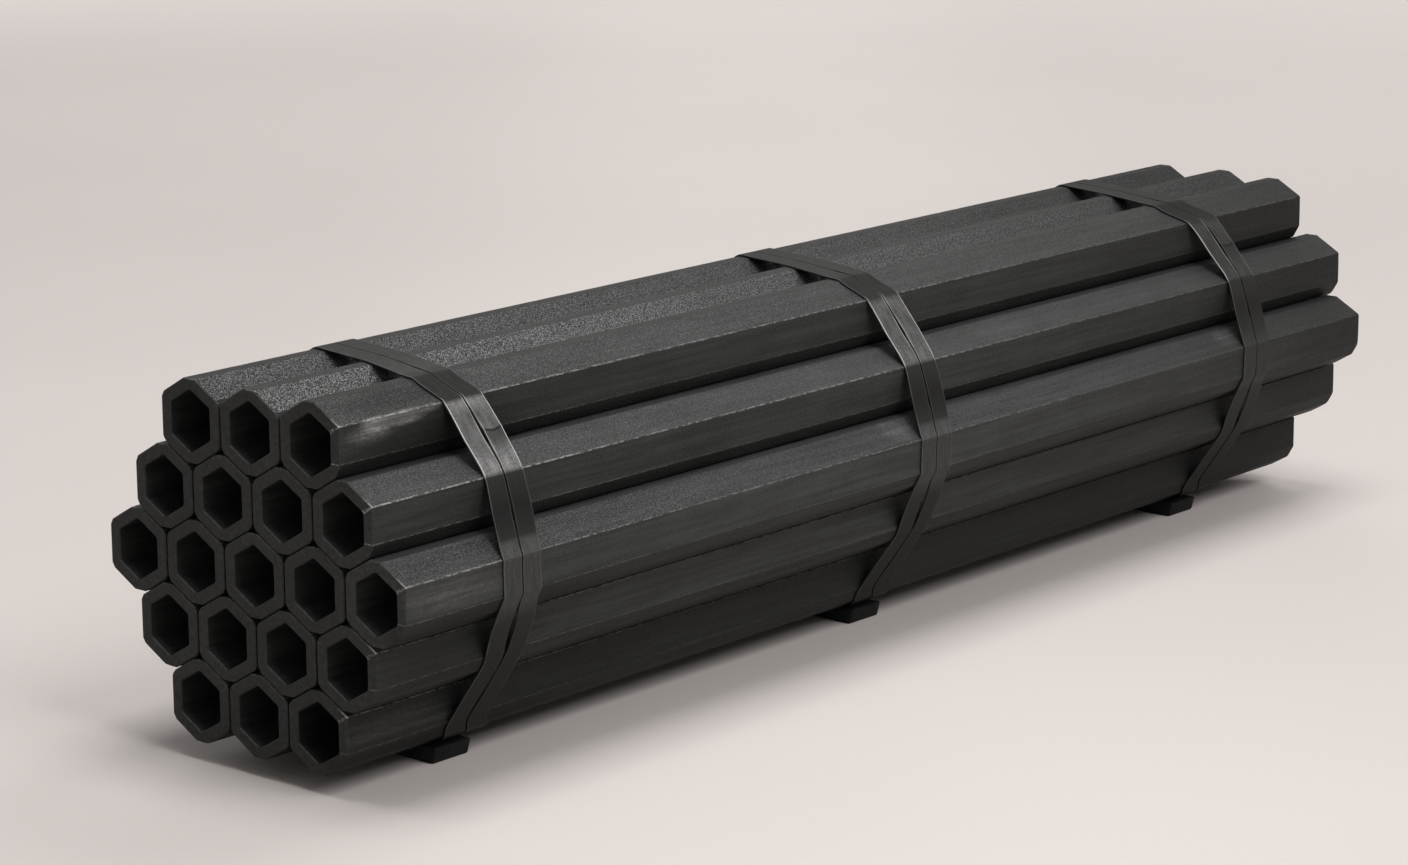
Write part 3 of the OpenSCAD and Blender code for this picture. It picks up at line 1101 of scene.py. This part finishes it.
class BUNDLE_OT_tubes(bpy.types.Operator):
    """Builds the nineteen ceramic tubes"""

    bl_idname = "bundle.tubes"
    bl_label = "Ceramic tubes"

    def execute(self, context):
        settings = context.scene.bundle.tubes
        shape = TubeShape(settings)
        outlines, routes = {}, {}
        for crisp in (False, True):
            outer, edge, ridge, bore = shape.outlines(crisp)
            outlines[crisp] = (
                point_cloud("outer", [(p.x, 0, p.y) for p in outer], {"edge": edge, "ridge": ridge}),
                point_cloud("bore", [(p.x, 0, p.y) for p in bore]),
            )
        for name, spans in SPANS.items():
            stops, rims = tube_route(shape, settings.bevel, spans)
            routes[name] = point_cloud(name, stops, {"rim": rims})
        material = ceramic_material(settings)
        tree = tube_tree()
        for spot in TUBES:
            row, column = spot
            low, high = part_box(f"tube_{row}_{column}")
            outer, bore = outlines[spot in CRISP]
            route = routes["buried" if spot in BURIED else "shown"]
            tube = shape_from_tree(f"ceramic_tube_{row}_{column}", tree, {
                "Outer": outer, "Bore": bore, "Route": route, "Material": material,
                "Around": len(outer.data.vertices), "Along": len(route.data.vertices),
                "Centre": ((low.x + high.x) / 2, 0.0, (low.z + high.z) / 2),
                "Near": low.y, "Length": high.y - low.y, "Chip": settings.chip,
                **dict(zip(FIRING_PARTS, FIRINGS_AND_PAINTED_LIGHT.get(spot, PLAIN_FIRING_AND_LIGHT))),
            })
            keep(tube, f"tube_{row}_{column}")
        for helper in (*outlines[False], *outlines[True], *routes.values()):
            bpy.data.objects.remove(helper)
        return {"FINISHED"}


class BUNDLE_OT_bands(bpy.types.Operator):
    """Builds the three pairs of plastic bands"""

    bl_idname = "bundle.bands"
    bl_label = "Plastic bands"

    def execute(self, context):
        settings = context.scene.bundle.bands
        shape = TubeShape(context.scene.bundle.tubes)
        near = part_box("tube_3_3")[0].y
        material = band_material(settings)
        tree = band_tree()
        section = point_cloud("section", band_section(settings))
        for station in STATIONS:
            course = BandCourse(shape, settings, PASSES[station], near)
            tones, cut_highlights = course.values(TONES[station]), course.values(CUT_HIGHLIGHTS)
            spreads = [spread * MM for spread in course.values(SPREADS)]
            for side, sign, share in zip("ab", (-1, 1), CUT_HIGHLIGHT_SHARES[station]):
                name = f"{station}_{side}"
                weld = course.keys["left_brow"] + HIDDEN_WELD
                if name in WELDED_IN_SIGHT:
                    weld = course.keys["shoulder"] - WELD_END
                numbers = {"cut": [cut * share for cut in cut_highlights], "tone": tones, "spread": spreads}
                route = course.route(f"route_{name}", weld, weld + settings.weld, numbers)
                band = shape_from_tree(f"plastic_band_{name}", tree, {
                    "Route": route, "Section": section, "Material": material,
                    "Along": len(route.data.vertices), "Around": len(section.data.vertices),
                    "Shift": sign * (settings.width + settings.pair_gap) / 2, "Weld": settings.overlap,
                })
                keep(band, f"strap_{name}")
                bpy.data.objects.remove(route)
        bpy.data.objects.remove(section)
        return {"FINISHED"}


class BUNDLE_OT_bearers(bpy.types.Operator):
    """Builds the three bearers"""

    bl_idname = "bundle.bearers"
    bl_label = "Bearers"

    def execute(self, context):
        settings = context.scene.bundle.bearers
        material = bearer_material(settings)
        for station in STATIONS:
            low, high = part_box(f"bearer_{station}")
            foot = high.x - settings.lean
            outline = [(-foot, low.z), (foot, low.z), (high.x, high.z), (-high.x, high.z)]
            form = bmesh.new()
            near, far = ([form.verts.new((x, y, z)) for x, z in outline] for y in (low.y, high.y))
            form.faces.new(near)
            form.faces.new(far[::-1])
            for corners in zip(near, far, far[1:] + far[:1], near[1:] + near[:1]):
                form.faces.new(corners)
            bmesh.ops.recalc_face_normals(form, faces=form.faces)
            bmesh.ops.bevel(form, geom=form.edges[:], offset=settings.round, segments=ROUND_STEPS,
                            profile=0.5, affect="EDGES")
            mesh = bpy.data.meshes.new(f"rubber_bearer_{station}")
            form.to_mesh(mesh)
            form.free()
            mesh.materials.append(material)
            mesh.shade_smooth()
            bearer = link(bpy.data.objects.new(mesh.name, mesh))
            face_outwards(bearer)
            keep(bearer, f"bearer_{station}")
        return {"FINISHED"}


class BUNDLE_OT_stage(bpy.types.Operator):
    """Sets the floor, the lamps and the camera"""

    bl_idname = "bundle.stage"
    bl_label = "Stage"

    def execute(self, context):
        scene = context.scene
        settings = scene.bundle.stage
        self.floor(settings)
        scene.world = self.room(settings)
        for name, place in LAMPS.items():
            self.lamp(name, place, getattr(settings, name))
        scene.camera = self.camera(settings)
        scene.view_settings.view_transform = "Standard"
        return {"FINISHED"}

    def floor(self, settings):
        """A wide sheet of paper under the bundle."""
        mesh = bpy.data.meshes.new("floor")
        corners = [(x * FLOOR_REACH, y * FLOOR_REACH, 0) for x, y in ((-1, -1), (1, -1), (1, 1), (-1, 1))]
        mesh.from_pydata(corners, [], [range(4)])
        mesh.materials.append(floor_material(settings))
        floor = link(bpy.data.objects.new("floor", mesh))

    def room(self, settings):
        """Soft light from all around, behind the floor's colour."""
        net = ShaderNet(bpy.data.worlds.new("room"))
        light, paper = (
            net.add("ShaderNodeBackground", {"Color": (*colour, 1), "Strength": strength})
            for colour, strength in ((settings.sky, settings.sky_level), (settings.floor, 1.0))
        )
        return net.ended(net.swapped(net.seen_directly(), light, paper), "ShaderNodeOutputWorld")

    def lamp(self, name, place, power):
        """A square soft lamp that looks at the bundle."""
        light = bpy.data.lights.new(name, "AREA")
        light.size, light.energy = LAMP_SIZE, power
        lamp = link(bpy.data.objects.new(name, light))
        lamp.location = place
        ahead = Vector(LIT_SPOT) - lamp.location
        lamp.rotation_euler = ahead.to_track_quat("-Z", "Y").to_euler()

    def camera(self, settings):
        """The camera, turned by its azimuth, elevation and roll."""
        camera = bpy.data.cameras.new("camera")
        camera.lens = settings.lens
        stand = link(bpy.data.objects.new("camera", camera))
        turns = ((settings.azimuth, "Z"), (math.pi / 2 - settings.elevation, "X"), (settings.roll, "Z"))
        place = Matrix.Translation(settings.camera_place)
        for angle, axis in turns:
            place @= Matrix.Rotation(angle, 4, axis)
        stand.matrix_world = place
        return stand


class BUNDLE_PT_sidebar(bpy.types.Panel):
    """Lists the pieces and their sizes"""

    bl_label = "Tube Bundle"
    bl_idname = "BUNDLE_PT_sidebar"
    bl_space_type = "VIEW_3D"
    bl_region_type = "UI"
    bl_category = "Tube Bundle"

    def draw(self, context):
        bundle = context.scene.bundle
        for operator, group in ((BUNDLE_OT_stage, bundle.stage), (BUNDLE_OT_tubes, bundle.tubes),
                                (BUNDLE_OT_bands, bundle.bands), (BUNDLE_OT_bearers, bundle.bearers)):
            box = self.layout.box()
            box.operator(operator.bl_idname)
            for name in group.__annotations__:
                box.prop(group, name)


CLASSES = (
    TubeSettings, BandSettings, BearerSettings, StageSettings, BundleSettings,
    BUNDLE_OT_tubes, BUNDLE_OT_bands, BUNDLE_OT_bearers, BUNDLE_OT_stage, BUNDLE_PT_sidebar,
)


def register():
    for cls in CLASSES:
        bpy.utils.register_class(cls)
    bpy.types.Scene.bundle = PointerProperty(type=BundleSettings)


def unregister():
    del bpy.types.Scene.bundle
    for cls in reversed(CLASSES):
        bpy.utils.unregister_class(cls)


def main():
    register()
    bpy.ops.bundle.stage()
    bpy.ops.bundle.tubes()
    bpy.ops.bundle.bands()
    bpy.ops.bundle.bearers()


if __name__ == "__main__":
    main()
